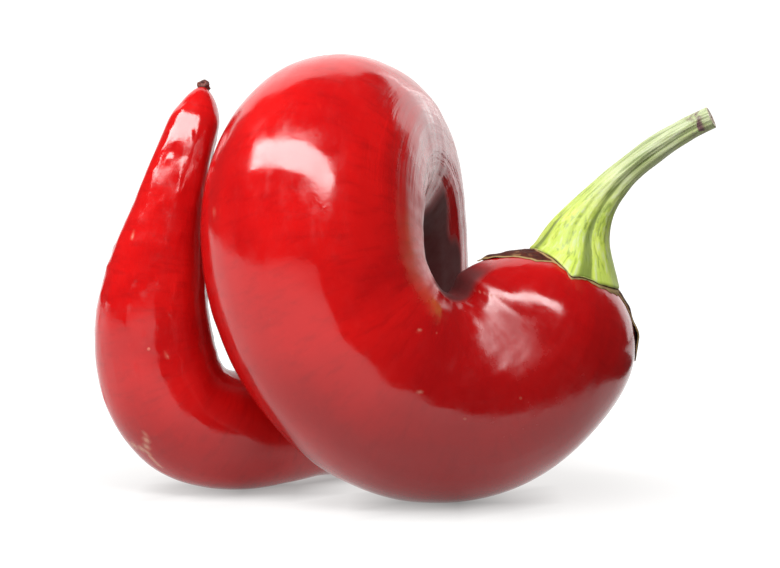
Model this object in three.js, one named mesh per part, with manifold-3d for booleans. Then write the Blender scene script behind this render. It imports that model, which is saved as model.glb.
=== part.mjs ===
// A red chilli pepper that grew in a coil.
// The flesh turns about one and three quarter times. It starts at the shoulder under the
// calyx, runs left along the front, climbs the front limb, goes back over the arch, drops
// down the thinner far leg, crosses forward and left along the ground, and ends in a tail
// that stands up beside the front limb. A green stem grows out of the shoulder through the
// calyx, and the dried remnant of the flower's style sits on the pointed end.
// Millimetres, +Z up, the front looks along -Y. It lies on z = 0 on three flattened spots.
import * as THREE from 'three';
import { mergeVertices } from 'three/addons/utils/BufferGeometryUtils.js';
import Module from 'manifold-3d';

const wasm = await Module();
wasm.setup();

// ---- fruit ----
// height of the coil, from the ground to the top of the arch
const COIL_HEIGHT = 82;
// thickness of the flesh where it is widest
const GIRTH = 39.8;
// length over which the shoulder rounds off under the calyx
const CROWN_LENGTH = 17.3;
// length over which the pointed end rounds off
const POINT_LENGTH = 9;
// how deep the skin is pressed flat where it rests
const FLAT_DEPTH = 0.25;
// length of centreline over which the direction of a section is averaged
const TURN_SPREAD = 26;

// ---- calyx ----
const CALYX_THICKNESS = 0.6;
const CALYX_EDGE = 0.35;
// reach of its round part down the crown, in degrees from the stem's axis
const CALYX_DISC = 34;

// ---- stem ----
// along its centreline, from the crown to the cut end
const STEM_LENGTH = 36.5;
// widths across the foot, the slender part and the cut end
const STEM_FLARE = 15.4;
const STEM_NECK = 6.4;
const STEM_END = 4.2;
// share of the length in which the flare narrows to the neck
const FLARE_SHARE = 0.5;
const RIB_COUNT = 5;
const RIB_HEIGHT = 0.35;

// ---- remnant of the style ----
const STYLE_WIDTH = 2.5;
const STYLE_LENGTH = 1.3;

// room between two pieces that touch
const CLEARANCE = 0.3;

// Stations that pull the fruit's centreline into its coil, for a coil 82 high:
// x, y, height of the underside, and thickness as a share of the girth.
const STATIONS_HEIGHT = 82;
const STATIONS = [
  [34.7, 9.5, 26.0, 0.915], // pole of the crown
  [29.0, 8.5, 10.9, 0.91], // shoulder
  [17.8, 4.5, -0.8, 0.955],
  [-1.2, -1.0, -0.37, 0.99], // front of the coil, on the ground
  [-14.1, -3.0, 17.3, 1.0], // front limb
  [-14.7, 2.5, 37.9, 1.03],
  [-8.9, 20.0, 49.5, 0.9], // arch
  [-2.1, 36.0, 43.4, 0.84],
  [0.6, 44.0, 26.9, 0.78], // far leg
  [1.5, 47.0, 11.3, 0.725],
  [-4.0, 46.0, -2.3, 0.67], // foot of the far leg, on the ground
  [-14.3, 33.0, 1.1, 0.6],
  [-25.5, 15.8, -0.41, 0.56], // bottom of the tail, on the ground
  [-39.3, 12.2, 0.4, 0.59],
  [-45.2, 11.4, 14.6, 0.58], // tail
  [-44.2, 11.0, 31.1, 0.485],
  [-41.4, 11.6, 46.4, 0.32],
  [-38.5, 14.6, 59.5, 0.26],
  [-35.9, 18.0, 67.1, 0.23],
  [-35.5, 20.6, 73.0, 0.165], // pointed end
];

// The course of the stem's centreline from the crown: right, back and up.
const STEM_COURSE = [
  [0, 0, 0],
  [-0.2, 0, 3.0],
  [2.3, -0.2, 8.2],
  [6.9, -0.5, 13.5],
  [12.9, -1.5, 18.6],
  [19.2, -3.0, 22.6],
  [22.8, -4.0, 24.3],
];

// The calyx lobes: heading round the stem, reach down the crown and half width, in degrees.
// A heading of 0 is the front and 90 the right.
const LOBES = [
  [84, 72, 17],
  [150, 54, 20],
  [210, 52, 20],
  [278, 66, 24],
  [352, 42, 30],
];

const BACK = new THREE.Vector3(0, 1, 0);
const DEGREE = Math.PI / 180;

// A point of the uniform cubic B-spline that starts at the first station and ends at the last.
function splinePoint(points, share) {
  const last = points.length - 1;
  const place = Math.min(share * last, last - 1e-9);
  const i = Math.floor(place);
  const t = place - i;
  const mirror = (end, next) => end.map((value, k) => 2 * value - next[k]);
  const before = i > 0 ? points[i - 1] : mirror(points[0], points[1]);
  const after = i + 2 > last ? mirror(points[last], points[last - 1]) : points[i + 2];
  const a = (1 - t) ** 3 / 6;
  const b = (3 * t ** 3 - 6 * t ** 2 + 4) / 6;
  const c = (-3 * t ** 3 + 3 * t ** 2 + 3 * t + 1) / 6;
  const d = t ** 3 / 6;
  return points[i].map((value, k) => a * before[k] + b * value + c * points[i + 1][k] + d * after[k]);
}

// Walks the spline in even steps. Each step has a centre and a radius.
function walk(points, count) {
  const fine = Array.from({ length: 8 * count + 1 }, (_, i) => splinePoint(points, i / (8 * count)));
  const reached = [0];
  for (let i = 1; i < fine.length; i += 1) {
    const apart = Math.hypot(...[0, 1, 2].map((k) => fine[i][k] - fine[i - 1][k]));
    reached.push(reached[i - 1] + apart);
  }
  const total = reached[fine.length - 1];
  const steps = [];
  let j = 0;
  for (let i = 0; i <= count; i += 1) {
    const target = (total * i) / count;
    while (j < fine.length - 2 && reached[j + 1] < target) j += 1;
    const share = (target - reached[j]) / (reached[j + 1] - reached[j]);
    const row = fine[j].map((value, k) => value + (fine[j + 1][k] - value) * share);
    steps.push({ centre: new THREE.Vector3(...row), radius: row[3] });
  }
  return { steps, stride: total / count, total };
}

// Gives each step its direction and two axes across it that never twist. lean() may turn
// the direction that the centreline gives.
function addAxes(line, spread, lean = (along) => along) {
  const reach = Math.max(1, Math.round(spread / line.stride / 2));
  const last = line.steps.length - 1;
  line.steps.forEach((step, i) => {
    const ahead = line.steps[Math.min(i + reach, last)].centre;
    const behind = line.steps[Math.max(i - reach, 0)].centre;
    step.along = lean(ahead.clone().sub(behind).normalize(), i / last);
  });
  const turn = new THREE.Quaternion();
  const side = BACK.clone();
  line.steps.forEach((step, i) => {
    const before = line.steps[Math.max(i - 1, 0)].along;
    side.applyQuaternion(turn.setFromUnitVectors(before, step.along));
    side.addScaledVector(step.along, -side.dot(step.along)).normalize();
    step.side = side.clone();
    step.other = side.clone().cross(step.along);
  });
  return line;
}

// The section of a walked line at a distance from its start.
function sectionAt(line, distance) {
  const place = THREE.MathUtils.clamp(distance / line.stride, 0, line.steps.length - 1 - 1e-6);
  const i = Math.floor(place);
  const [p, q] = [line.steps[i], line.steps[i + 1]];
  const blend = (name) => p[name].clone().lerp(q[name], place - i);
  return {
    centre: blend('centre'),
    along: blend('along').normalize(),
    side: blend('side').normalize(),
    other: blend('other').normalize(),
    radius: THREE.MathUtils.lerp(p.radius, q.radius, place - i),
  };
}

// A point on the circle of a section. An angle of 0 is its side axis.
function onSection(section, angle, radius) {
  return section.centre
    .clone()
    .addScaledVector(section.side, radius * Math.cos(angle))
    .addScaledVector(section.other, radius * Math.sin(angle));
}

function traceFruit() {
  const grow = COIL_HEIGHT / STATIONS_HEIGHT;
  const points = STATIONS.map(([x, y, underside, share]) => {
    const radius = (share * GIRTH) / 2;
    return [x * grow, y * grow, underside * grow + radius - FLAT_DEPTH, radius];
  });
  return addAxes(walk(points, 400), TURN_SPREAD);
}

const FRUIT = traceFruit();

// A point of the fruit's skin, at a distance along it and an angle round it.
function fruitSkin(distance, angle) {
  const section = sectionAt(FRUIT, distance);
  const fromCrown = Math.min(distance / CROWN_LENGTH, 1);
  const fromPoint = THREE.MathUtils.clamp((FRUIT.total - distance) / POINT_LENGTH, 0, 1);
  const crownRound = Math.sqrt(1 - (1 - fromCrown) ** 2);
  const pointRound = Math.sqrt(1 - (1 - fromPoint) ** 2);
  return onSection(section, angle, section.radius * crownRound * pointRound);
}

// Distance along the fruit of the ring that lies this many degrees down the crown.
function crownDistance(fall) {
  const past = Math.max(fall - 90, 0) * DEGREE;
  return CROWN_LENGTH * (1 - Math.cos(Math.min(fall, 90) * DEGREE)) + (GIRTH / 2) * past;
}

// A point that stands off the crown along its normal.
function overCrown(fall, heading, lift) {
  const angle = Math.PI + heading * DEGREE;
  const point = fruitSkin(crownDistance(fall), angle);
  if (fall < 1) return point.addScaledVector(FRUIT.steps[0].along, -lift);
  const down = fruitSkin(crownDistance(fall + 0.5), angle).sub(fruitSkin(crownDistance(fall - 0.5), angle));
  const round = fruitSkin(crownDistance(fall), angle + 0.01).sub(fruitSkin(crownDistance(fall), angle - 0.01));
  return point.addScaledVector(down.cross(round).normalize(), lift);
}

// A closed skin: the rows and columns of a sphere, moved to where place() puts them.
function closedSkin(rows, columns, place) {
  const sphere = new THREE.SphereGeometry(1, columns, rows);
  const position = sphere.getAttribute('position');
  for (let i = 0; i < position.count; i += 1) {
    const row = Math.floor(i / (columns + 1));
    const column = (i % (columns + 1)) % columns;
    const point = place(row, (column / columns) * 2 * Math.PI);
    position.setXYZ(i, point.x, point.y, point.z);
  }
  return bare(sphere);
}

// The geometry with nothing but position, and its shared corners merged.
function bare(geometry) {
  geometry.deleteAttribute('normal');
  geometry.deleteAttribute('uv');
  return mergeVertices(geometry, 1e-5);
}

function toSolid(geometry) {
  const vertProperties = new Float32Array(geometry.getAttribute('position').array);
  const triVerts = new Uint32Array(geometry.getIndex().array);
  return new wasm.Manifold(new wasm.Mesh({ numProp: 3, vertProperties, triVerts }));
}

function toGeometry(solid) {
  const mesh = solid.getMesh();
  const geometry = new THREE.BufferGeometry();
  geometry.setAttribute('position', new THREE.BufferAttribute(mesh.vertProperties, 3));
  geometry.setIndex(new THREE.BufferAttribute(mesh.triVerts, 1));
  return geometry;
}

// The fruit in one piece, with the spots it rests on pressed flat at the ground.
function fruitGeometry() {
  const [crownRows, bodyRows, pointRows] = [9, 62, 6];
  const rows = crownRows + bodyRows + pointRows;
  const bodyLength = FRUIT.total - CROWN_LENGTH - POINT_LENGTH;
  const skin = closedSkin(rows, 32, (row, angle) => {
    const left = rows - row;
    if (row < crownRows) return fruitSkin(crownDistance((90 * row) / crownRows), angle);
    if (left < pointRows) {
      const turned = ((left / pointRows) * Math.PI) / 2;
      return fruitSkin(FRUIT.total - POINT_LENGTH * (1 - Math.cos(turned)), angle);
    }
    return fruitSkin(CROWN_LENGTH + (bodyLength * (row - crownRows)) / bodyRows, angle);
  });
  const reach = 4 * COIL_HEIGHT;
  const ground = new THREE.BoxGeometry(reach, reach, GIRTH).translate(0, 0, -GIRTH / 2);
  return toGeometry(toSolid(skin).subtract(toSolid(bare(ground))));
}

// How far down the crown the calyx reaches under one heading.
function calyxReach(heading) {
  const reaches = LOBES.map(([middle, tip, halfWidth]) => {
    const off = Math.abs(THREE.MathUtils.euclideanModulo(heading - middle + 180, 360) - 180);
    const share = Math.cos((Math.min(off / halfWidth, 1) * Math.PI) / 2) ** 1.4;
    return CALYX_DISC + (tip - CALYX_DISC) * share;
  });
  return Math.max(...reaches);
}

// The calyx hugs the crown. Its first rows are its outside and its last rows its inside.
function calyxGeometry() {
  const rings = 9;
  const rows = 2 * rings + 1;
  return closedSkin(rows, 64, (row, angle) => {
    const heading = angle / DEGREE - 180;
    const outside = row <= rings;
    const share = Math.min(row, rows - row) / rings;
    const thickness = THREE.MathUtils.lerp(CALYX_THICKNESS, CALYX_EDGE, share);
    const lift = CLEARANCE + (outside ? thickness : 0);
    return overCrown(share * calyxReach(heading), heading, lift);
  });
}

// The stem's centreline, grown to its length and standing off the calyx. Its sections leave
// square to the crown's axis, and turn into the course where the flare ends.
function traceStem() {
  const seat = overCrown(0, 0, 2 * CLEARANCE + CALYX_THICKNESS);
  const course = STEM_COURSE.map((point) => [...point, 1]);
  const grow = STEM_LENGTH / walk(course, 80).total;
  const points = course.map(([x, y, z]) => [seat.x + x * grow, seat.y + y * grow, seat.z + z * grow, 1]);
  const line = walk(points, 80);
  const root = FRUIT.steps[0].along.clone().negate();
  return addAxes(line, 3, (along, share) => {
    const settled = THREE.MathUtils.smoothstep(share, 0, FLARE_SHARE);
    return root.clone().lerp(along, settled).normalize();
  });
}

// Radius of the stem at a share of its length: a flared foot, a slender shaft, a swollen end.
function stemRadius(share, angle) {
  const flare = ((STEM_FLARE - STEM_NECK) / 2) * Math.max(0, 1 - share / FLARE_SHARE) ** 2;
  const shaft = THREE.MathUtils.lerp(STEM_NECK, 0.9 * STEM_END, share) / 2;
  const swelling = 0.05 * STEM_END * share ** 12;
  const rib = RIB_HEIGHT * Math.cos(RIB_COUNT * angle) * (1 - 0.6 * share);
  return flare + shaft + swelling + rib;
}

// The stem: a foot that is hollowed to follow the crown, then the ribbed shaft and its cut end.
function stemGeometry() {
  const line = traceStem();
  const [footRings, shaftRings] = [4, 22];
  const crownRadius = FRUIT.steps[0].radius;
  return closedSkin(footRings + shaftRings + 1, 40, (row, angle) => {
    if (row <= footRings) {
      const fall = Math.asin(stemRadius(0, angle) / crownRadius) / DEGREE;
      return overCrown((fall * row) / footRings, 180 - angle / DEGREE, 2 * CLEARANCE + CALYX_THICKNESS);
    }
    const share = Math.min((row - footRings) / shaftRings, 1) ** 1.15;
    const section = sectionAt(line, share * line.total);
    const isCap = row > footRings + shaftRings;
    return onSection(section, angle, isCap ? 0 : stemRadius(share, angle));
  });
}

// The dried remnant of the style: a small blunt cone that stands off the pointed end.
function styleGeometry() {
  const end = sectionAt(FRUIT, FRUIT.total);
  const profile = [
    [0, 0],
    [0.3, 0],
    [0.5, 0.15],
    [0.36, 0.7],
    [0.2, 1],
    [0, 1],
  ];
  const points = profile.map(([r, z]) => new THREE.Vector2(r * STYLE_WIDTH, z * STYLE_LENGTH));
  const geometry = bare(new THREE.LatheGeometry(points, 16));
  const turn = new THREE.Quaternion().setFromUnitVectors(BACK, end.along);
  const seat = end.centre.addScaledVector(end.along, CLEARANCE);
  return geometry.applyQuaternion(turn).translate(seat.x, seat.y, seat.z);
}

function piece(name, geometry, color, roughness) {
  const material = new THREE.MeshStandardMaterial({ color, roughness, metalness: 0 });
  const mesh = new THREE.Mesh(geometry, material);
  mesh.name = name;
  return mesh;
}

const pepper = new THREE.Group();
pepper.add(piece('fruit', fruitGeometry(), 0xc4161a, 0.22));
pepper.add(piece('calyx', calyxGeometry(), 0x6e4a34, 0.75));
pepper.add(piece('stem', stemGeometry(), 0x9fb85a, 0.6));
pepper.add(piece('style_tip', styleGeometry(), 0x3a2418, 0.85));

// The origin is on the ground, under the middle of the whole pepper.
const middle = new THREE.Box3().setFromObject(pepper).getCenter(new THREE.Vector3());
pepper.position.set(-middle.x, -middle.y, 0);

const scene = new THREE.Group();
scene.add(pepper);
export default scene;
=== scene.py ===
"""A coiled red chilli pepper on a pale studio floor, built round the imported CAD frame."""

import math

import bpy
import numpy as np
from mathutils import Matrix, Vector


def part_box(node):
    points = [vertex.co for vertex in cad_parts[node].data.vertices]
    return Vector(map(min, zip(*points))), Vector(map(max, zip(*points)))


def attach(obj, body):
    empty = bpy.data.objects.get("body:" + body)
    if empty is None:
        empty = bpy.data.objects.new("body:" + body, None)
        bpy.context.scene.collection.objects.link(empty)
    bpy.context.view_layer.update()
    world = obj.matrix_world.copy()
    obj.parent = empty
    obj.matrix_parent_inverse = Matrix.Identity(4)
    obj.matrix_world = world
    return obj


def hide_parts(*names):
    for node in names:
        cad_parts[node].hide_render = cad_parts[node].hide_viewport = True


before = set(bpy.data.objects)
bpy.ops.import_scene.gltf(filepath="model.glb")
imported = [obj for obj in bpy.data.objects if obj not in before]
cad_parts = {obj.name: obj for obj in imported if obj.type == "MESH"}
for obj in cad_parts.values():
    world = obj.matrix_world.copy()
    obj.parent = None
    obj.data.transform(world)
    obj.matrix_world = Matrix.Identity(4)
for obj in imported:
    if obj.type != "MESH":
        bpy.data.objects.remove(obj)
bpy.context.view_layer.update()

# ---------------------------------------------------------------- sizes, in millimetres
GIRTH = 39.8
CROWN_LENGTH = 17.3
POINT_LENGTH = 9.0
FLAT_DEPTH = 0.25
TURN_SPREAD = 26.0
STEM_LENGTH = 36.5
STEM_FLARE = 15.4
STEM_NECK = 6.4
STEM_END = 4.2
FLARE_SHARE = 0.5
STYLE_WIDTH = 2.5
STYLE_LENGTH = 1.3
CLEARANCE = 0.3
CALYX_THICKNESS = 0.6
# How the crown's left shoulder stands up: its middle as a distance along the fruit and an
# angle round it, its spread in both, and its rise as a share of the radius.
CROWN_SHOULDER = (15.0, 112.0)
SHOULDER_SPREAD = (9.0, 30.0)
SHOULDER_RISE = 0.1

# x, y, height of the underside, thickness as a share of the girth
STATIONS = [
    (34.7, 9.5, 26.0, 0.915),
    (29.0, 8.5, 10.9, 0.91),
    (17.8, 4.5, -0.8, 0.955),
    (-1.2, -1.0, -0.37, 0.99),
    (-14.1, -3.0, 17.3, 1.0),
    (-14.7, 2.5, 37.9, 1.03),
    (-8.9, 20.0, 49.5, 0.9),
    (-2.1, 36.0, 43.4, 0.84),
    (0.6, 44.0, 26.9, 0.78),
    (1.5, 47.0, 11.3, 0.725),
    (-4.0, 46.0, -2.3, 0.67),
    (-14.3, 33.0, 1.1, 0.6),
    (-25.5, 15.8, -0.41, 0.56),
    (-39.3, 12.2, 0.4, 0.59),
    (-45.2, 11.4, 14.6, 0.58),
    (-44.2, 11.0, 31.1, 0.485),
    (-41.4, 11.6, 46.4, 0.32),
    (-38.5, 14.6, 59.5, 0.26),
    (-35.9, 18.0, 67.1, 0.23),
    (-35.5, 20.6, 73.0, 0.165),
]
STEM_COURSE = [
    (0, 0, 0),
    (-0.2, 0, 3.0),
    (2.3, -0.2, 8.2),
    (6.9, -0.5, 13.5),
    (12.9, -1.5, 18.6),
    (19.2, -3.0, 22.6),
    (22.8, -4.0, 24.3),
]

# ---------------------------------------------------------------- curves


def spline(points, shares):
    """Points of the uniform cubic B-spline that runs from the first station to the last."""
    points = np.asarray(points, float)
    first, last = 2 * points[0] - points[1], 2 * points[-1] - points[-2]
    points = np.vstack([first, points, last])
    spans = len(points) - 3
    place = np.asarray(shares) * spans
    i = np.minimum(place.astype(int), spans - 1)
    t = (place - i)[:, None]
    return (
        (1 - t) ** 3 * points[i]
        + (3 * t**3 - 6 * t**2 + 4) * points[i + 1]
        + (-3 * t**3 + 3 * t**2 + 3 * t + 1) * points[i + 2]
        + t**3 * points[i + 3]
    ) / 6


def wrap(degrees):
    """The same direction as an angle from -180 up to 180 degrees."""
    return (degrees + 180) % 360 - 180


def unit(v):
    return v / np.linalg.norm(v, axis=-1, keepdims=True)


class Line:
    """A centreline with a direction and two axes across it that never twist."""

    def __init__(self, points, count, spread, lean=None):
        fine = spline(points, np.linspace(0, 1, 8 * count + 1))
        apart = np.linalg.norm(np.diff(fine[:, :3], axis=0), axis=1)
        reached = np.concatenate([[0], np.cumsum(apart)])
        self.total = reached[-1]
        self.at = np.linspace(0, self.total, count + 1)
        rows = np.stack([np.interp(self.at, reached, fine[:, k]) for k in range(4)], 1)
        self.centre, self.radius = rows[:, :3], rows[:, 3]
        reach = max(1, round(spread / (self.total / count) / 2))
        index = np.arange(count + 1)
        ahead = self.centre[np.minimum(index + reach, count)]
        behind = self.centre[np.maximum(index - reach, 0)]
        self.along = unit(ahead - behind)
        if lean:
            self.along = unit(lean(self.along, index / count))
        side = np.array([0.0, 1.0, 0.0])
        sides = []
        for i in index:
            before, now = self.along[max(i - 1, 0)], self.along[i]
            axis = np.cross(before, now)
            sine = np.linalg.norm(axis)
            if sine > 1e-12:
                turn = math.atan2(sine, before @ now)
                axis /= sine
                side = (
                    side * math.cos(turn)
                    + np.cross(axis, side) * math.sin(turn)
                    + axis * (axis @ side) * (1 - math.cos(turn))
                )
            side = unit(side - (side @ now) * now)
            sides.append(side)
        self.side = np.array(sides)
        self.other = np.cross(self.side, self.along)

    def section(self, distance):
        distance = np.asarray(distance, float)

        def blend(table):
            return np.stack([np.interp(distance, self.at, table[:, k]) for k in range(3)], -1)

        radius = np.interp(distance, self.at, self.radius)
        return blend(self.centre), unit(blend(self.side)), unit(blend(self.other)), radius


radii = [share * GIRTH / 2 for *_, share in STATIONS]
FRUIT = Line(
    [(x, y, under + r - FLAT_DEPTH, r) for (x, y, under, _), r in zip(STATIONS, radii)],
    400,
    TURN_SPREAD,
)


def on_section(line, distance, angle, radius):
    centre, side, other, _ = line.section(distance)
    return centre + radius[..., None] * (
        side * np.cos(angle)[..., None] + other * np.sin(angle)[..., None]
    )


def fruit_skin(distance, angle):
    """Points of the plain skin, at distances along the fruit and angles round it."""
    distance, angle = np.broadcast_arrays(distance, angle)
    radius = FRUIT.section(distance)[3]
    crown = np.clip(distance / CROWN_LENGTH, 0, 1)
    point = np.clip((FRUIT.total - distance) / POINT_LENGTH, 0, 1)
    radius = radius * np.sqrt(1 - (1 - crown) ** 2) * np.sqrt(1 - (1 - point) ** 2)
    middle, turn = CROWN_SHOULDER
    reach, width = SHOULDER_SPREAD
    away = ((distance - middle) / reach) ** 2 + (wrap(np.degrees(angle) - turn) / width) ** 2
    radius = radius * (1 + SHOULDER_RISE * np.exp(-away))
    return on_section(FRUIT, distance, angle, radius)


def crown_distance(fall):
    """Distance along the fruit of the ring that lies fall degrees down the crown."""
    past = np.radians(np.maximum(fall - 90, 0))
    return CROWN_LENGTH * (1 - np.cos(np.radians(np.minimum(fall, 90)))) + GIRTH / 2 * past


def over_crown(fall, heading, lift):
    """Points that stand off the crown. A heading of 0 is the front and 90 the right."""
    closest_to_pole, step_down, step_round = 0.6, 0.5, 0.01
    fall, heading, lift = np.broadcast_arrays(
        np.maximum(np.asarray(fall, float), closest_to_pole), np.asarray(heading, float), lift
    )

    def skin(more_fall, more_angle):
        angle = np.pi + np.radians(heading) + more_angle
        return fruit_skin(crown_distance(fall + more_fall), angle)

    down = skin(step_down, 0) - skin(-step_down, 0)
    round_ = skin(0, step_round) - skin(0, -step_round)
    return skin(0, 0) + unit(np.cross(down, round_)) * lift[..., None]


# ---------------------------------------------------------------- helpers


def waves(points, wavelength, seed, count=14):
    """A smooth random field between about -1 and 1, with features of this wavelength."""
    rng = np.random.default_rng(seed)
    total = np.zeros(points.shape[:-1])
    for _ in range(count):
        way = unit(rng.normal(size=3)) * (2 * np.pi / wavelength) * rng.uniform(0.7, 1.4)
        total += np.sin(points @ way + rng.uniform(0, 2 * np.pi))
    return total / math.sqrt(count) * 0.8


def layers(points, *fields):
    """Random fields laid over each other, each with its wavelength, height and seed."""
    return sum(height * waves(points, wavelength, seed) for wavelength, height, seed in fields)


def smooth(low, high, value):
    """A soft step from 0 at low to 1 at high."""
    t = np.clip((value - low) / (high - low), 0, 1)
    return t * t * (3 - 2 * t)


def between(value, rise, full, still, gone):
    """0 up to rise, 1 from full to still, and 0 again from gone on."""
    return smooth(rise, full, value) * smooth(gone, still, value)


def grid_normals(grid):
    """Outward unit normals of a grid of rows along a body and columns round it."""
    along = np.gradient(grid, axis=0)
    around = np.roll(grid, -1, axis=1) - np.roll(grid, 1, axis=1)
    normal = np.cross(along, around)
    length = np.linalg.norm(normal, axis=-1, keepdims=True)
    return normal / np.maximum(length, 1e-9)


def shift_to_row():
    """How far the coil's own millimetres lie from the row frame's, level with the ground."""
    distance = np.linspace(0, FRUIT.total, 500)[:, None]
    angle = np.linspace(0, 2 * np.pi, 97)[None, :]
    skin = fruit_skin(distance, angle).reshape(-1, 3)
    low, high = (np.array(corner) * 1000 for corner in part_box("fruit"))
    shift = (low + high) / 2 - (skin.min(0) + skin.max(0)) / 2
    shift[2] = 0
    return shift


SHIFT = shift_to_row()


def to_row(points):
    """From the coil's own millimetres to metres in the row frame."""
    return (np.asarray(points) + SHIFT) / 1000


def grid_piece(name, grid, material, node, attributes):
    """A closed piece from a grid of rows and columns, its ends closed by single points."""
    rows, columns = grid.shape[:2]
    points = np.concatenate([grid[:1, 0], grid[1:-1].reshape(-1, 3), grid[-1:, 0]])
    row, column = np.meshgrid(np.arange(rows - 3), np.arange(columns), indexing="ij")
    after = (column + 1) % columns
    a = 1 + row * columns + column
    b = 1 + row * columns + after
    quads = np.stack([a, a + columns, b + columns, b], -1).reshape(-1, 4)
    ring = np.arange(columns)
    following = (ring + 1) % columns
    last = len(points) - 1
    start = 1 + (rows - 3) * columns
    first_fan = np.stack([np.zeros(columns, int), 1 + ring, 1 + following], -1)
    last_fan = np.stack([np.full(columns, last), start + following, start + ring], -1)
    faces = first_fan.tolist() + quads.tolist() + last_fan.tolist()
    mesh = bpy.data.meshes.new(name)
    mesh.from_pydata(to_row(points).tolist(), [], faces)
    for label, values in attributes:
        values = np.asarray(values, float)
        middle = values[1:-1].reshape(-1, *values.shape[2:])
        flat = np.concatenate([values[:1, 0], middle, values[-1:, 0]])
        kind, key = ("FLOAT_VECTOR", "vector") if flat.ndim == 2 else ("FLOAT", "value")
        mesh.attributes.new(label, kind, "POINT").data.foreach_set(key, flat.ravel())
    mesh.shade_smooth()
    mesh.update()
    piece = bpy.data.objects.new(name, mesh)
    bpy.context.scene.collection.objects.link(piece)
    mesh.materials.append(material)
    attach(piece, "root")
    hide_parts(node)


# ---------------------------------------------------------------- materials


class Nodes:
    """Short names for building one material's node tree."""

    def __init__(self, name):
        self.material = bpy.data.materials.new(name)
        self.material.use_nodes = True
        self.tree = self.material.node_tree
        self.tree.nodes.clear()
        self.shader = self.add("ShaderNodeBsdfPrincipled")
        out = self.add("ShaderNodeOutputMaterial")
        self.link(self.shader.outputs[0], out.inputs["Surface"])

    def add(self, kind, **settings):
        node = self.tree.nodes.new(kind)
        for key, value in settings.items():
            setattr(node, key, value)
        return node

    def link(self, source, target):
        self.tree.links.new(source, target)

    def put(self, socket, value):
        if hasattr(value, "is_output"):
            self.link(value, socket)
        else:
            socket.default_value = value

    def attribute(self, name, output="Fac"):
        return self.add("ShaderNodeAttribute", attribute_name=name).outputs[output]

    def scaled(self, vector, factors):
        node = self.add("ShaderNodeVectorMath", operation="MULTIPLY")
        self.link(vector, node.inputs[0])
        node.inputs[1].default_value = factors
        return node.outputs[0]

    def noise(self, vector, scale, detail=3.0, roughness=0.5):
        node = self.add("ShaderNodeTexNoise")
        self.link(vector, node.inputs["Vector"])
        node.inputs["Scale"].default_value = scale
        node.inputs["Detail"].default_value = detail
        node.inputs["Roughness"].default_value = roughness
        return node.outputs[0]

    def cells(self, vector, scale):
        node = self.add("ShaderNodeTexVoronoi")
        self.link(vector, node.inputs["Vector"])
        node.inputs["Scale"].default_value = scale
        return node.outputs["Distance"]

    def fit(self, value, low, high, to_low=0.0, to_high=1.0):
        node = self.add("ShaderNodeMapRange", interpolation_type="SMOOTHSTEP")
        self.put(node.inputs["Value"], value)
        ends = {"From Min": low, "From Max": high, "To Min": to_low, "To Max": to_high}
        for key, number in ends.items():
            node.inputs[key].default_value = number
        return node.outputs[0]

    def math(self, operation, a, b):
        node = self.add("ShaderNodeMath", operation=operation)
        self.put(node.inputs[0], a)
        self.put(node.inputs[1], b)
        return node.outputs[0]

    def times(self, a, b):
        return self.math("MULTIPLY", a, b)

    def plus(self, a, b):
        return self.math("ADD", a, b)

    def mix(self, factor, a, b):
        node = self.add("ShaderNodeMix", data_type="RGBA")
        self.put(node.inputs["Factor"], factor)
        for socket, value in ((node.inputs[6], a), (node.inputs[7], b)):
            self.put(socket, value if hasattr(value, "is_output") else (*value, 1.0))
        return node.outputs[2]

    def bump(self, height, strength, distance):
        node = self.add("ShaderNodeBump")
        node.inputs["Strength"].default_value = strength
        node.inputs["Distance"].default_value = distance
        self.link(height, node.inputs["Height"])
        self.link(node.outputs[0], self.shader.inputs["Normal"])

    def set(self, **values):
        for key, value in values.items():
            self.put(self.shader.inputs[key.replace("_", " ")], value)


# Linear colours of the fruit's skin.
RED = (0.36, 0.0028, 0.0034)
CLEAR_RED = (0.47, 0.0045, 0.0045)
DARK_RED = (0.25, 0.0022, 0.003)
WARM_RED = (0.52, 0.012, 0.008)
# painted shade: the crown and the belly darker red
CROWN_SHADE_RED = (0.2, 0.002, 0.0026)
# painted shade for the inside of the coil
SHADE_RED = (0.07, 0.0006, 0.001)
PALE_DOT = (0.6, 0.2, 0.13)
# pale corky colour, also used for painted glints on the tail
CORK_AND_GLINT = (0.6, 0.32, 0.22)
# Of the stem.
LIME = (0.34, 0.44, 0.045)
PALE_LIME = (0.44, 0.53, 0.08)
OLIVE = (0.29, 0.34, 0.14)
PALE_OLIVE = (0.38, 0.42, 0.25)
PALE_FIBRE = (0.46, 0.5, 0.34)
DARK_FIBRE = (0.1, 0.15, 0.03)
GROOVE_GREEN = (0.1, 0.14, 0.02)
RIM_GREEN = (0.28, 0.3, 0.13)
BRUISE = (0.09, 0.035, 0.04)
WOOD = (0.3, 0.2, 0.12)
PITH = (0.72, 0.66, 0.52)
# Of the dried calyx and the dried tip.
CALYX_DARK = (0.025, 0.006, 0.006)
CALYX_BROWN = (0.075, 0.018, 0.012)
CALYX_TAN = (0.2, 0.1, 0.045)
CALYX_GOLD = (0.36, 0.25, 0.11)
STYLE_DARK = (0.025, 0.006, 0.005)
STYLE_BROWN = (0.16, 0.035, 0.018)


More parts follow.
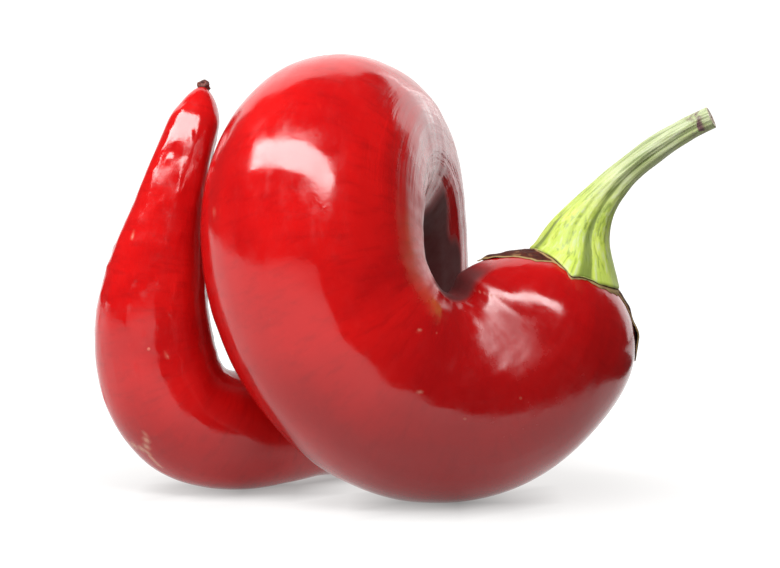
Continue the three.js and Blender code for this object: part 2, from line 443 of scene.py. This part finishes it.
def skin_material():
    """Glossy red skin: streaked and mottled, dotted, corky on the scars, dull in the folds, with
    painted glints on the tail, painted shade over the crown and belly and painted shade inside the
    coil.
    """
    n = Nodes("chilli_skin")
    skin = n.attribute("skin", "Vector")
    scar_and_glint = n.attribute("scar_and_glint")
    painted_shade = n.attribute("painted_shade")
    broad = n.noise(skin, 0.055, 2.0)
    streak = n.noise(n.scaled(skin, (0.35, 0.35, 1.6)), 0.55, 4.0, 0.6)
    mottle = n.noise(skin, 0.9, 3.0, 0.6)
    colour = n.mix(n.fit(broad, 0.35, 0.65), RED, CLEAR_RED)
    colour = n.mix(n.fit(streak, 0.45, 0.75, 0, 0.4), colour, DARK_RED)
    colour = n.mix(n.fit(mottle, 0.55, 0.8, 0, 0.25), colour, WARM_RED)
    # sparse pale dots, none where the skin is folded together
    chosen = n.fit(n.noise(skin, 0.21, 1.0), 0.5, 0.62)
    dots = n.times(n.fit(n.cells(skin, 0.16), 0.03, 0.06, 1, 0), chosen)
    dots = n.times(dots, n.attribute("open"))
    colour = n.mix(n.times(dots, 0.75), colour, PALE_DOT)
    # pale corky scars, and painted glints on the tail's bumps
    colour = n.mix(n.times(scar_and_glint, 0.8), colour, CORK_AND_GLINT)
    # painted shade over the crown and belly
    colour = n.mix(n.times(n.attribute("crown_and_belly_shade"), 0.75), colour, CROWN_SHADE_RED)
    # painted shade: the inside of the coil darkened to nearly black, and duller below
    colour = n.mix(painted_shade, colour, SHADE_RED)
    rough = n.fit(n.noise(skin, 0.35, 4.0, 0.65), 0.3, 0.75, 0.09, 0.24)
    rough = n.plus(rough, n.times(scar_and_glint, 0.3))
    rough = n.plus(rough, n.times(n.attribute("dull"), 0.15))
    rough = n.plus(rough, n.times(painted_shade, 0.55))
    fine = n.noise(n.scaled(skin, (1, 1, 1.7)), 1.3, 4.0, 0.55)
    threads = n.noise(n.scaled(skin, (1.0, 1.0, 0.05)), 1.1, 3.0, 0.5)
    threads = n.times(threads, n.attribute("flank"))
    height = n.plus(n.times(fine, 0.6), n.times(dots, 0.5))
    height = n.plus(height, n.times(threads, 5.0))
    n.bump(height, 0.22, 0.00012)
    n.link(colour, n.shader.inputs["Base Color"])
    n.link(rough, n.shader.inputs["Roughness"])
    n.set(
        Subsurface_Weight=0.12,
        Subsurface_Radius=(1.0, 0.12, 0.08),
        Subsurface_Scale=0.0012,
        Specular_IOR_Level=0.5,
    )
    return n.material


def stem_material():
    """Green flesh, lime at the foot and olive on the shaft, with dark grooves and a woody cut."""
    n = Nodes("stem_green")
    skin = n.attribute("skin", "Vector")
    share = n.attribute("share")
    end = n.attribute("cut")
    fibres = n.noise(n.scaled(skin, (1.0, 1.0, 0.035)), 1.5, 4.0, 0.55)
    patch = n.fit(n.noise(n.scaled(skin, (1.0, 1.0, 0.45)), 0.28, 3.0), 0.35, 0.65)
    foot = n.mix(patch, LIME, PALE_LIME)
    shaft = n.mix(patch, OLIVE, PALE_OLIVE)
    colour = n.mix(n.fit(share, 0.1, 0.62), foot, shaft)
    colour = n.mix(n.fit(fibres, 0.5, 0.7, 0, 0.5), colour, PALE_FIBRE)
    colour = n.mix(n.fit(fibres, 0.48, 0.34, 0, 0.55), colour, DARK_FIBRE)
    colour = n.mix(n.fit(n.attribute("groove"), 0.35, 0.95, 0, 0.85), colour, GROOVE_GREEN)
    colour = n.mix(n.fit(n.attribute("rim"), 0.35, 1.0, 0, 0.75), colour, RIM_GREEN)
    # a bruised ring just before the cut
    bruise = n.times(n.fit(share, 0.87, 0.93), n.fit(share, 0.985, 0.94))
    bruise = n.times(bruise, n.fit(n.noise(skin, 0.7, 3.0), 0.42, 0.6))
    colour = n.mix(bruise, colour, BRUISE)
    pith = n.noise(skin, 1.8, 4.0, 0.7)
    colour = n.mix(end, colour, n.mix(n.fit(pith, 0.4, 0.62), WOOD, PITH))
    n.link(colour, n.shader.inputs["Base Color"])
    n.link(n.fit(fibres, 0.3, 0.7, 0.42, 0.68), n.shader.inputs["Roughness"])
    n.bump(n.plus(fibres, n.times(pith, end)), 0.5, 0.00025)
    n.set(Subsurface_Weight=0.1, Subsurface_Radius=(0.6, 1.0, 0.3), Subsurface_Scale=0.0008)
    return n.material


def calyx_material():
    """Dried brown skin with a thin golden edge."""
    n = Nodes("calyx_dry")
    skin = n.attribute("skin", "Vector")
    fibres = n.noise(n.scaled(skin, (1.0, 1.0, 0.25)), 1.1, 5.0, 0.65)
    colour = n.mix(n.fit(fibres, 0.35, 0.65), CALYX_DARK, CALYX_BROWN)
    colour = n.mix(n.fit(n.noise(skin, 0.4, 3.0), 0.56, 0.7, 0, 0.7), colour, CALYX_TAN)
    colour = n.mix(n.fit(n.attribute("edge"), 0.55, 0.95, 0, 0.8), colour, CALYX_GOLD)
    n.link(colour, n.shader.inputs["Base Color"])
    n.link(n.fit(fibres, 0.3, 0.7, 0.55, 0.8), n.shader.inputs["Roughness"])
    n.bump(fibres, 0.6, 0.0002)
    n.set(Specular_IOR_Level=0.05)
    return n.material


def style_material():
    """Dried, nearly black brown."""
    n = Nodes("style_dry")
    skin = n.attribute("skin", "Vector")
    grain = n.noise(n.scaled(skin, (1.0, 1.0, 0.4)), 2.5, 4.0, 0.65)
    n.link(n.mix(n.fit(grain, 0.35, 0.65), STYLE_DARK, STYLE_BROWN), n.shader.inputs["Base Color"])
    n.set(Roughness=0.7)
    n.bump(grain, 0.6, 0.0002)
    return n.material


# ---------------------------------------------------------------- the fruit

# Places on the skin are a distance along the fruit and an angle round it in degrees.
# The squarer edge over the crown's front, and where it runs on into the saddle behind it.
FRONT_EDGE = [
    (19.1, 145), (15.2, 149), (12.3, 154), (11.1, 162), (10.6, 172), (11.1, 182), (11.6, 194),
]
SADDLE_EDGE = [(31, 141), (26, 143), (21, 146)]
DULL_SADDLE = (26, 160)

# Marks of pale corky skin: a row of beads, a forked scratch and single dots, two of them painted
# highlights on the tail, each drawn as a line with a half width in millimetres.
BEADS = [(20.6, 122), (20.0, 126), (19.4, 130), (18.7, 134), (18.0, 138), (17.2, 141), (16.5, 144)]
BEAD_HALF_WIDTH = 0.24
SCRATCH = [
    ([(227.6, 149), (226.9, 154), (225.9, 162), (224.9, 165), (223.6, 167)], 0.3),
    ([(227.6, 181), (226.8, 171), (226.1, 163)], 0.26),
]
SPOTS_AND_GLINTS = [
    # the first two, on the tail, are painted highlights: pale dots where small bumps catch the light
    ([(258.5, 156), (258.6, 157)], 0.3),
    ([(238.0, 100), (238.1, 101)], 0.25),
    ([(55.4, 166), (55.5, 166)], 0.25),
    ([(49.1, 193), (49.2, 193)], 0.22),
    ([(82.2, 258), (82.3, 258)], 0.25),
]

# Scales that stretch a random field along the fruit, and that slant it.
LENGTHWISE = np.array([1.0, 1.0, 0.06])
SLANTED = np.array([[1, 0, 0], [0, 1, 0.5], [0, 0, 0.25]])


def stroke(distance, angle, radius, points, width):
    """How near each point of the skin lies to a line drawn on it, from 0 to 1."""
    result = np.zeros(np.broadcast(distance, angle).shape)
    for (d0, a0), (d1, a1) in zip(points, points[1:]):
        for t in np.linspace(0, 1, 24):
            along = distance - (d0 + (d1 - d0) * t)
            across = np.radians(wrap(np.degrees(angle) - (a0 + (a1 - a0) * t))) * radius
            result = np.maximum(result, np.exp(-(along**2 + across**2) / width**2))
    return result


def fruit_rows():
    """Distances along the fruit of its rings: even down the crown, along the body, to the point."""
    crown_rows, body_rows, point_rows = 34, 372, 24
    crown = crown_distance(np.linspace(0, 90, crown_rows, endpoint=False))
    body = np.linspace(CROWN_LENGTH, FRUIT.total - POINT_LENGTH, body_rows, endpoint=False)
    point = FRUIT.total - POINT_LENGTH * (1 - np.cos(np.linspace(np.pi / 2, 0, point_rows)))
    return np.concatenate([crown, body, point])[:, None]


def fruit_relief(skin, distance, spacing, ends, flank):
    """How far the skin stands out from the plain sweep, in millimetres."""
    total = FRUIT.total
    dents = layers(skin, (34, 0.22, 3), (13, 0.07, 4))
    fine = layers(skin, (5.0, 0.012, 7))
    # soft rings round the body, which run together on the inside of the bends
    rings = skin * np.array([0.3, 0.3, 1.0])
    ripples = layers(rings, (6.5, 0.06, 5), (3.2, 0.02, 6))
    limb = between(distance, 30, 60, 150, 190)
    folds = layers(rings * 0.8, (4.0, 0.07, 8)) * smooth(0.75, 0.25, spacing)
    folds = folds * smooth(25, 45, distance)
    # long creases, deepest on the flank of the arch and on the tail
    cords = skin * LENGTHWISE
    long_ = layers(cords, (5.5, 0.16, 11), (2.6, 0.06, 12))
    long_ = long_ * (0.12 + 0.88 * flank) * smooth(20, 45, distance)
    creases = layers(cords, (6.0, 0.14, 13), (3.0, 0.04, 14))
    shrivel = layers(skin, (7.0, 0.06, 9), (3.2, 0.03, 10))
    tail = smooth(total - 55, total - 22, distance)
    lumps = np.maximum(waves(skin, 3.0, 15) - 0.55, 0) * 0.14
    lumps = lumps * smooth(total - 80, total - 45, distance)
    relief = dents * ends + ripples * (0.3 + 0.8 * limb) + fine + folds + long_
    return relief + (creases + shrivel) * tail * ends + lumps


def painted_coil_shade(skin, distance, turn):
    """Painted shade for the inside of the coil: the far leg's near side and the fold behind the
    crown.
    """
    limit = 110 + 12 * smooth(134, 144, distance) + layers(skin * LENGTHWISE, (3.0, 5, 17))
    leg = between(distance, 117, 125, 175, 190) * smooth(30, 55, turn)
    leg = leg * smooth(limit + 5, limit - 5, turn)
    fold = between(distance, 7, 14, 56, 66) * between(turn, 50, 80, 121, 129)
    return np.maximum(leg, fold)


def dull_skin(distance, angle, turn, radius, front):
    """Where the skin shines less: over the crown, in the saddle and in the limb's inner bend."""
    crown = 0.4 * between(distance, 12, 20, 34, 48) * front
    middle, middle_turn = DULL_SADDLE
    reach, width = 8, 6.5
    away = ((distance - middle) / reach) ** 2
    away = away + ((angle - np.radians(middle_turn)) * radius / width) ** 2
    saddle = 2.6 * np.exp(-away)
    bend = 1.6 * between(distance, 54, 62, 86, 98) * between(turn, 105, 118, 146, 158)
    return np.maximum(np.maximum(crown, saddle), bend)


def corky_marks_and_glints(distance, angle, radius):
    """How corky each point of the skin is, from 0 to 1, painted glints on the tail included."""
    beads = [([(d, a), (d + 0.05, a)], BEAD_HALF_WIDTH) for d, a in BEADS]
    scar_and_glint = np.zeros(np.broadcast(distance, angle).shape)
    for points, width in beads + SCRATCH + SPOTS_AND_GLINTS:
        scar_and_glint = np.maximum(scar_and_glint, stroke(distance, angle, radius, points, width))
    return scar_and_glint


def fruit_piece():
    columns = 224
    distance = fruit_rows()
    angle = np.linspace(0, 2 * np.pi, columns, endpoint=False)[None, :]
    turn = np.degrees(angle)
    everywhere = np.ones(angle.shape)
    grid = fruit_skin(distance, angle)
    normal = grid_normals(grid)
    radius = np.maximum(FRUIT.section(distance[:, 0])[3], 1.0)[:, None]
    unrolled = (radius * np.cos(angle), radius * np.sin(angle), distance)
    skin = np.stack(np.broadcast_arrays(*unrolled), -1)
    # how far apart the rings lie here, against how far apart their centres do
    step = np.gradient(distance[:, 0])[:, None]
    spacing = np.linalg.norm(np.gradient(grid, axis=0), axis=-1) / np.maximum(step, 1e-6)
    unfolded = smooth(0.05, 0.7, spacing) * everywhere
    ends = smooth(4, 16, distance) * smooth(1.0, 7, FRUIT.total - distance)
    front = between(turn, 110, 140, 200, 250)
    flank = between(turn, 50, 95, 150, 185) * between(distance, 72, 92, 160, 185)

    relief = fruit_relief(skin, distance, spacing, ends, flank) * unfolded * ends
    grid = grid + normal * relief[..., None]
    grid[..., 2] = np.maximum(grid[..., 2], 0)
    # the crown's front edge is squarer than a ball, and finely crinkled
    edge = 0.6 * stroke(distance, angle, radius, FRONT_EDGE, 4.2)
    edge = np.maximum(edge, 0.8 * stroke(distance, angle, radius, SADDLE_EDGE, 5.2))
    crinkle = layers(skin @ SLANTED, (3.0, 0.035, 16), (1.7, 0.016, 18))
    edge = edge + crinkle * between(distance, 3, 8, 35, 60) * front
    grid = grid + normal * edge[..., None]

    # painted shade over the inside of the coil
    painted_shade = painted_coil_shade(skin, distance, turn)
    # painted shade: the crown and the belly darker, the crown's top a little less
    crown_and_belly_shade = smooth(66, 44, distance) * (0.5 + 0.5 * smooth(6, 24, distance)) * everywhere
    attributes = (
        ("skin", skin),
        ("scar_and_glint", corky_marks_and_glints(distance, angle, radius)),
        ("open", unfolded),
        ("flank", flank * (1 - painted_shade)),
        ("dull", dull_skin(distance, angle, turn, radius, front)),
        ("painted_shade", painted_shade),
        ("crown_and_belly_shade", crown_and_belly_shade),
    )
    grid_piece("chilli_fruit", grid, skin_material(), "fruit", attributes)


# ---------------------------------------------------------------- stem and calyx

# Heading, and fall down the crown, in degrees: of the green foot's lower rim and of the dried
# calyx's ragged edge.
RIM = [
    (-180, 33), (-135, 30), (-90, 26.5), (-58, 27.5), (-28, 32), (-17, 35.5), (-11, 38),
    (-5, 44.5), (0, 40), (6, 36.5), (22, 36.5), (45, 34), (70, 30), (90, 28), (135, 31),
    (180, 33),
]
CALYX = [
    (-180, 40), (-165, 36), (-148, 51), (-130, 38), (-112, 47), (-90, 64), (-72, 55),
    (-56, 44), (-40, 41), (-28, 34), (-17, 37), (-11, 39), (-5, 45), (0, 41), (6, 38),
    (22, 38.5), (45, 36.5), (62, 36), (74, 44), (82, 60), (88, 73), (94, 60), (104, 42),
    (112, 38), (132, 40), (150, 52), (166, 38), (180, 40),
]
# Millimetres of the crown's skin to one degree of fall, roughly.
PER_DEGREE = 0.3

# How far up the stem its guide rings count as lying: those of the foot first, then the shaft's.
STEM_SHARES = [
    0, 0, 0, 0, 0.03,
    0.075, 0.12, 0.17, 0.23, 0.3, 0.38, 0.48, 0.58, 0.68, 0.78, 0.88, 0.94, 0.98, 1.0,
]
# The cut end's rings: their size as a share of the last ring's, and how far they stand out.
CUT_RINGS = [(0.93, 0.12), (0.8, 0.1), (0.6, 0.02), (0.4, -0.03), (0.2, -0.05), (0.0, -0.05)]
STEM_SPREAD = 3.0
RIBS = 5

# The dried tip's half width as a share of its width, and the place along it as a share.
STYLE_PROFILE = [
    (0, -0.3), (0.36, -0.28), (0.45, 0.0), (0.47, 0.2), (0.44, 0.42), (0.38, 0.62),
    (0.3, 0.8), (0.2, 0.94), (0, 1.0),
]


def by_heading(table, heading):
    """A value given at headings, read smoothly at any heading."""
    at, value = np.array(table, float).T
    whole = np.arange(-180, 181, 1.0)
    fine = np.interp(whole, at, value)
    kernel = np.exp(-(np.arange(-6, 7) ** 2) / 8.0)
    wrapped = np.concatenate([fine[-7:-1], fine, fine[1:7]])
    soft = np.convolve(wrapped, kernel / kernel.sum(), "valid")
    return np.interp(wrap(heading), whole, soft)


def circle(angle):
    """Points round a flat circle of radius 1."""
    return np.stack([np.cos(angle), np.sin(angle), 0 * angle], -1)


def trace_stem():
    """The stem's centreline, which leaves the crown square to it and then bends over."""
    seat = over_crown(0, 0, 2 * CLEARANCE + CALYX_THICKNESS)
    course = np.array([(*point, 1.0) for point in STEM_COURSE])
    grow = STEM_LENGTH / Line(course, 80, STEM_SPREAD).total
    course[:, :3] = seat + course[:, :3] * grow
    root = -FRUIT.along[0]

    def lean(along, share):
        settled = smooth(0, FLARE_SHARE, share)[:, None]
        return root * (1 - settled) + along * settled

    return Line(course, 160, STEM_SPREAD, lean)


def stem_radius(share):
    """Half the stem's width, a share of the way from the crown to the cut."""
    flare = (STEM_FLARE - STEM_NECK) / 2 * np.maximum(0, 1 - share / FLARE_SHARE) ** 2
    shaft = (STEM_NECK + (0.9 * STEM_END - STEM_NECK) * share) / 2
    return flare + shaft + 0.05 * STEM_END * share**12


def stem_guides(line, angle, heading, rim):
    """Rings that the outside follows: over the rim, up the crown, then along the shaft."""
    foot = [
        over_crown(rim, heading, 0.48),
        over_crown(rim - 0.3, heading, 0.72),
        over_crown(rim * 0.9 + 2.3, heading, 0.86),
        over_crown(rim * 0.55 + 10.8, heading, 1.15),
        over_crown(24.0, heading, 1.9),
    ]
    shaft = []
    for share in STEM_SHARES[len(foot) :]:
        distance = np.full(len(angle), share * line.total)
        radius = np.full(len(angle), stem_radius(share))
        shaft.append(on_section(line, distance, angle, radius))
    return np.array(foot + shaft)


def cut_end(last, axis):
    """The rings that close the stem after its last one."""
    centre = last.mean(0)
    return [centre + (last - centre) * size + axis * lift for size, lift in CUT_RINGS]


def stem_ribs(skin, angle, shares, radius):
    """How far the ribs and the fine cords between them stand out, in millimetres."""
    wander = layers(skin * np.array([0, 0, 1.0]), (22, 0.25, 31))
    ribs = np.cos(RIBS * angle + wander + 0.6)
    ribs = 0.22 * np.sign(ribs) * np.abs(ribs) ** 0.8 * (1 - 0.62 * shares)
    cords = skin * np.array([1, 1, 0.05]) / radius[..., None] * 3.2
    return ribs + layers(cords, (1.5, 0.11, 32), (0.7, 0.045, 33))


def stem_piece():
    """The green foot on the calyx and the ribbed shaft, from the pole of the crown to the cut."""
    columns, under_rows, outside_rows, rim_rows = 256, 10, 230, 12
    line = trace_stem()
    angle = np.linspace(0, 2 * np.pi, columns, endpoint=False)
    heading = wrap(180 - np.degrees(angle))
    rim = by_heading(RIM, heading) + layers(circle(angle), (0.35, 0.7, 21))
    under = [over_crown(rim * t, heading, 0.42) for t in np.linspace(0, 1, under_rows)]
    guides = stem_guides(line, angle, heading, rim)
    place = np.linspace(0, 1, outside_rows)
    outside = spline(guides.reshape(len(guides), -1), place).reshape(-1, columns, 3)
    outside_shares = np.interp(place * (len(guides) - 1), np.arange(len(guides)), STEM_SHARES)
    cap = cut_end(outside[-1], line.along[-1])
    grid = np.array(under + list(outside) + cap)

    shares = np.concatenate([np.zeros(under_rows), outside_shares, np.ones(len(cap))])
    shares = np.tile(shares[:, None], (1, columns))
    radius = stem_radius(shares)
    run = shares * line.total
    skin = np.stack([radius * np.cos(angle), radius * np.sin(angle), run], -1)
    # the ribs fade out just inside the rim and just before the cut
    ribbed = np.zeros(len(grid))
    ribbed[under_rows + 4 : under_rows + outside_rows - 2] = 1
    ribbed = np.convolve(ribbed, np.ones(5) / 5, "same")[:, None]
    ribs = stem_ribs(skin, angle, shares, radius)
    relief = ribs * ribbed * (0.35 + 0.65 * smooth(0, 0.06, shares))
    cut = np.zeros(shares.shape)
    cut[-len(cap) :] = 1
    rim_mark = np.zeros(shares.shape)
    rim_mark[under_rows : under_rows + rim_rows] = np.linspace(1, 0, rim_rows)[:, None]
    attributes = (
        ("skin", skin),
        ("share", shares),
        ("cut", cut),
        ("rim", rim_mark),
        ("groove", smooth(-0.1, -0.3, ribs) * ribbed),
    )
    grid = grid + grid_normals(grid) * relief[..., None]
    grid_piece("chilli_stem", grid, stem_material(), "stem", attributes)


def calyx_piece():
    """The thin dried skin between the crown and the green foot, its ragged edge curled up."""
    columns, rows, lift = 420, 34, 0.06
    angle = np.linspace(0, 2 * np.pi, columns, endpoint=False)
    heading = wrap(np.degrees(angle) - 180)
    reach = by_heading(CALYX, heading)
    reach = reach + layers(circle(angle), (0.22, 0.8, 41), (0.08, 0.35, 42))
    steps = np.linspace(0, 1, rows)[:, None]
    fall = steps * reach
    spot = np.stack([fall * np.cos(angle), fall * np.sin(angle), 0 * fall], -1) * PER_DEGREE
    wrinkle = layers(spot, (2.4, 0.07, 43), (1.1, 0.03, 44))
    curl = 0.25 + layers(spot * 0.3, (1.5, 0.35, 45))
    curl = np.maximum(curl * smooth(0.6, 1.0, steps) * smooth(42, 60, reach), 0)
    thick = 0.3 * np.sqrt(np.clip(1 - steps**6, 0, 1)) + 0.02
    thick = thick + np.maximum(wrinkle, -0.1) * (1 - steps**8)
    inside = over_crown(fall, heading, lift + curl)
    outside = over_crown(fall, heading, lift + curl + thick)
    grid = np.concatenate([outside, inside[::-1]])
    both = np.concatenate([fall, fall[::-1]])
    skin = np.stack([both * np.cos(angle), both * np.sin(angle), both], -1) * PER_DEGREE
    # golden at the calyx's own edge and where it shows beside the foot's rim
    at_edge = smooth(0.9, 1.0, np.concatenate([steps, steps[::-1]]))
    at_rim = np.exp(-((both - by_heading(RIM, heading) - 1.0) ** 2) / 3.0)
    attributes = (("skin", skin), ("edge", np.maximum(at_edge, at_rim)))
    grid_piece("chilli_calyx", grid, calyx_material(), "calyx", attributes)


def style_piece():
    """The dried tip at the fruit's point."""
    columns, rows = 40, 46
    centre, side, other, _ = FRUIT.section(np.array([FRUIT.total]))
    angle = np.linspace(0, 2 * np.pi, columns, endpoint=False)
    place = np.linspace(0, len(STYLE_PROFILE) - 1, rows)
    wide, at = (
        np.interp(place, np.arange(len(STYLE_PROFILE)), values) for values in zip(*STYLE_PROFILE)
    )
    wide = wide * STYLE_WIDTH
    at = at * (STYLE_LENGTH + CLEARANCE)
    middle = centre + FRUIT.along[-1] * at[:, None]
    spin = side * np.cos(angle)[:, None] + other * np.sin(angle)[:, None]
    skin = circle(angle) + np.array([0, 0, 1.0]) * at[:, None, None]
    rough = 1 + layers(skin, (1.1, 0.2, 51), (0.5, 0.08, 52))
    grid = middle[:, None] + spin * (wide[:, None] * rough)[..., None]
    attributes = (("skin", skin),)
    grid_piece("chilli_style", grid, style_material(), "style_tip", attributes)


fruit_piece()
stem_piece()
calyx_piece()
style_piece()

# ---------------------------------------------------------------- studio, in metres

FOCAL = 100.0
SENSOR = 36.0
CAMERA_DISTANCE = 0.39394
ELEVATION = math.radians(4.0)
TARGET = Vector(to_row((0, 0, 40.05)).tolist())
LIGHT_TARGET = Vector((0.0, 0.0, 0.05))

# The floor's outline from the side, as y and height: the card's upper part in front of the
# pepper, the flat, then the curve up behind.
FRONT_CARD = [
    (-0.64, 0.18), (-0.63, 0.12), (-0.62, 0.08), (-0.6, 0.05), (-0.58, 0.025), (-0.56, 0.01),
]
FLAT_END = 0.7
CURVE_RADIUS = 0.4
BACK_TOP = 1.6
# The floor is closely divided under the pepper, where its glow changes.
NEAR = [i / 100 for i in range(-14, 15)]
ACROSS = [-0.78, -0.76, -0.7, -0.4, -0.2] + NEAR + [0.2, 0.3, 0.45]
LEFT_WALL = -0.7
# Where the pepper stands on the floor.
CONTACTS = [(0.0078, -0.017), (-0.011, 0.019), (-0.028, -0.001)]
FLOOR_GREY = 0.12
FLOOR_LIGHT = (1.0, 0.99, 0.98)
WORLD_LIGHT = 0.05


def add_camera():
    data = bpy.data.cameras.new("camera")
    data.lens = FOCAL
    data.sensor_width = SENSOR
    data.clip_start = 0.01
    camera = bpy.data.objects.new("camera", data)
    back = Vector((0, -math.cos(ELEVATION), math.sin(ELEVATION)))
    camera.location = TARGET + back * CAMERA_DISTANCE
    camera.rotation_euler = (-back).to_track_quat("-Z", "Y").to_euler()
    bpy.context.scene.collection.objects.link(camera)
    bpy.context.scene.camera = camera


def area_light(name, place, size, power):
    """A rectangular white light that faces the pepper."""
    data = bpy.data.lights.new(name, "AREA")
    data.shape = "RECTANGLE"
    data.size, data.size_y = size
    data.energy = power
    light = bpy.data.objects.new(name, data)
    light.location = place
    light.rotation_euler = (LIGHT_TARGET - Vector(place)).to_track_quat("-Z", "Y").to_euler()
    bpy.context.scene.collection.objects.link(light)


def floor_profile():
    flat = [-0.53, -0.4, -0.3, -0.2] + NEAR + [0.15, 0.2, 0.3, FLAT_END]
    profile = FRONT_CARD + [(y, 0.0) for y in flat]
    for i in range(1, 13):
        turn = i / 12 * math.pi / 2
        behind = FLAT_END + CURVE_RADIUS * math.sin(turn)
        profile.append((behind, CURVE_RADIUS - CURVE_RADIUS * math.cos(turn)))
    return profile + [(FLAT_END + CURVE_RADIUS, BACK_TOP)]


def floor_point(x, y, z):
    """Cuts the floor short on the right, where the pepper faces the dark, and lifts its left end."""
    right_edge = 0.086 + 0.19 * max(y, -0.1) + 0.4 * smooth(0.13, 0.2, y)
    return min(x, right_edge), y, z + max(0.0, LEFT_WALL - x)


def floor_glow(x, y, z):
    """How brightly a point of the floor glows: less near the contacts, where it is a painted contact
    shadow, and less high on the card.
    """
    away = min(math.hypot(x - u, y - v) for u, v in CONTACTS) + z
    # painted contact shadow: the glow falls within a few centimetres of the contacts
    glow = 0.2 + 0.6 * smooth(0.0, 0.024, away) + 0.25 * smooth(0.02, 0.09, away)
    if y < -0.5:
        glow = glow * (1 - 0.75 * smooth(0.03, 0.18, z))
    return glow


def floor_material():
    material = bpy.data.materials.new("floor_white")
    material.use_nodes = True
    tree = material.node_tree
    tree.nodes.clear()
    diffuse = tree.nodes.new("ShaderNodeBsdfDiffuse")
    diffuse.inputs["Color"].default_value = (FLOOR_GREY, FLOOR_GREY, FLOOR_GREY, 1)
    shine = tree.nodes.new("ShaderNodeEmission")
    shine.inputs["Color"].default_value = (*FLOOR_LIGHT, 1)
    bright = tree.nodes.new("ShaderNodeAttribute")
    bright.attribute_name = "glow"
    both = tree.nodes.new("ShaderNodeAddShader")
    out = tree.nodes.new("ShaderNodeOutputMaterial")
    tree.links.new(bright.outputs["Fac"], shine.inputs["Strength"])
    tree.links.new(diffuse.outputs[0], both.inputs[0])
    tree.links.new(shine.outputs[0], both.inputs[1])
    tree.links.new(both.outputs[0], out.inputs["Surface"])
    return material


def add_floor():
    """A pale sweep that glows: a low card in front, flat, curving up behind."""
    profile = floor_profile()
    points = [floor_point(x, y, z) for y, z in profile for x in ACROSS]
    wide = len(ACROSS)
    faces = [
        (i * wide + j, i * wide + j + 1, (i + 1) * wide + j + 1, (i + 1) * wide + j)
        for i in range(len(profile) - 1)
        for j in range(wide - 1)
    ]
    mesh = bpy.data.meshes.new("floor")
    mesh.from_pydata(points, [], faces)
    glow = [floor_glow(*point) for point in points]
    mesh.attributes.new("glow", "FLOAT", "POINT").data.foreach_set("value", glow)
    mesh.shade_smooth()
    floor = bpy.data.objects.new("floor", mesh)
    bpy.context.scene.collection.objects.link(floor)
    mesh.materials.append(floor_material())


def add_world():
    world = bpy.data.worlds.new("studio")
    world.use_nodes = True
    background = world.node_tree.nodes["Background"]
    background.inputs["Color"].default_value = (1, 1, 1, 1)
    background.inputs["Strength"].default_value = WORLD_LIGHT
    bpy.context.scene.world = world


add_camera()
add_floor()
add_world()
area_light("key", (-0.19, -0.29, 0.64), (1.2, 0.25), 14.5)
area_light("rim", (0.60, 0.85, 0.36), (0.6, 0.75), 2.4)
bpy.context.scene.view_settings.view_transform = "Standard"
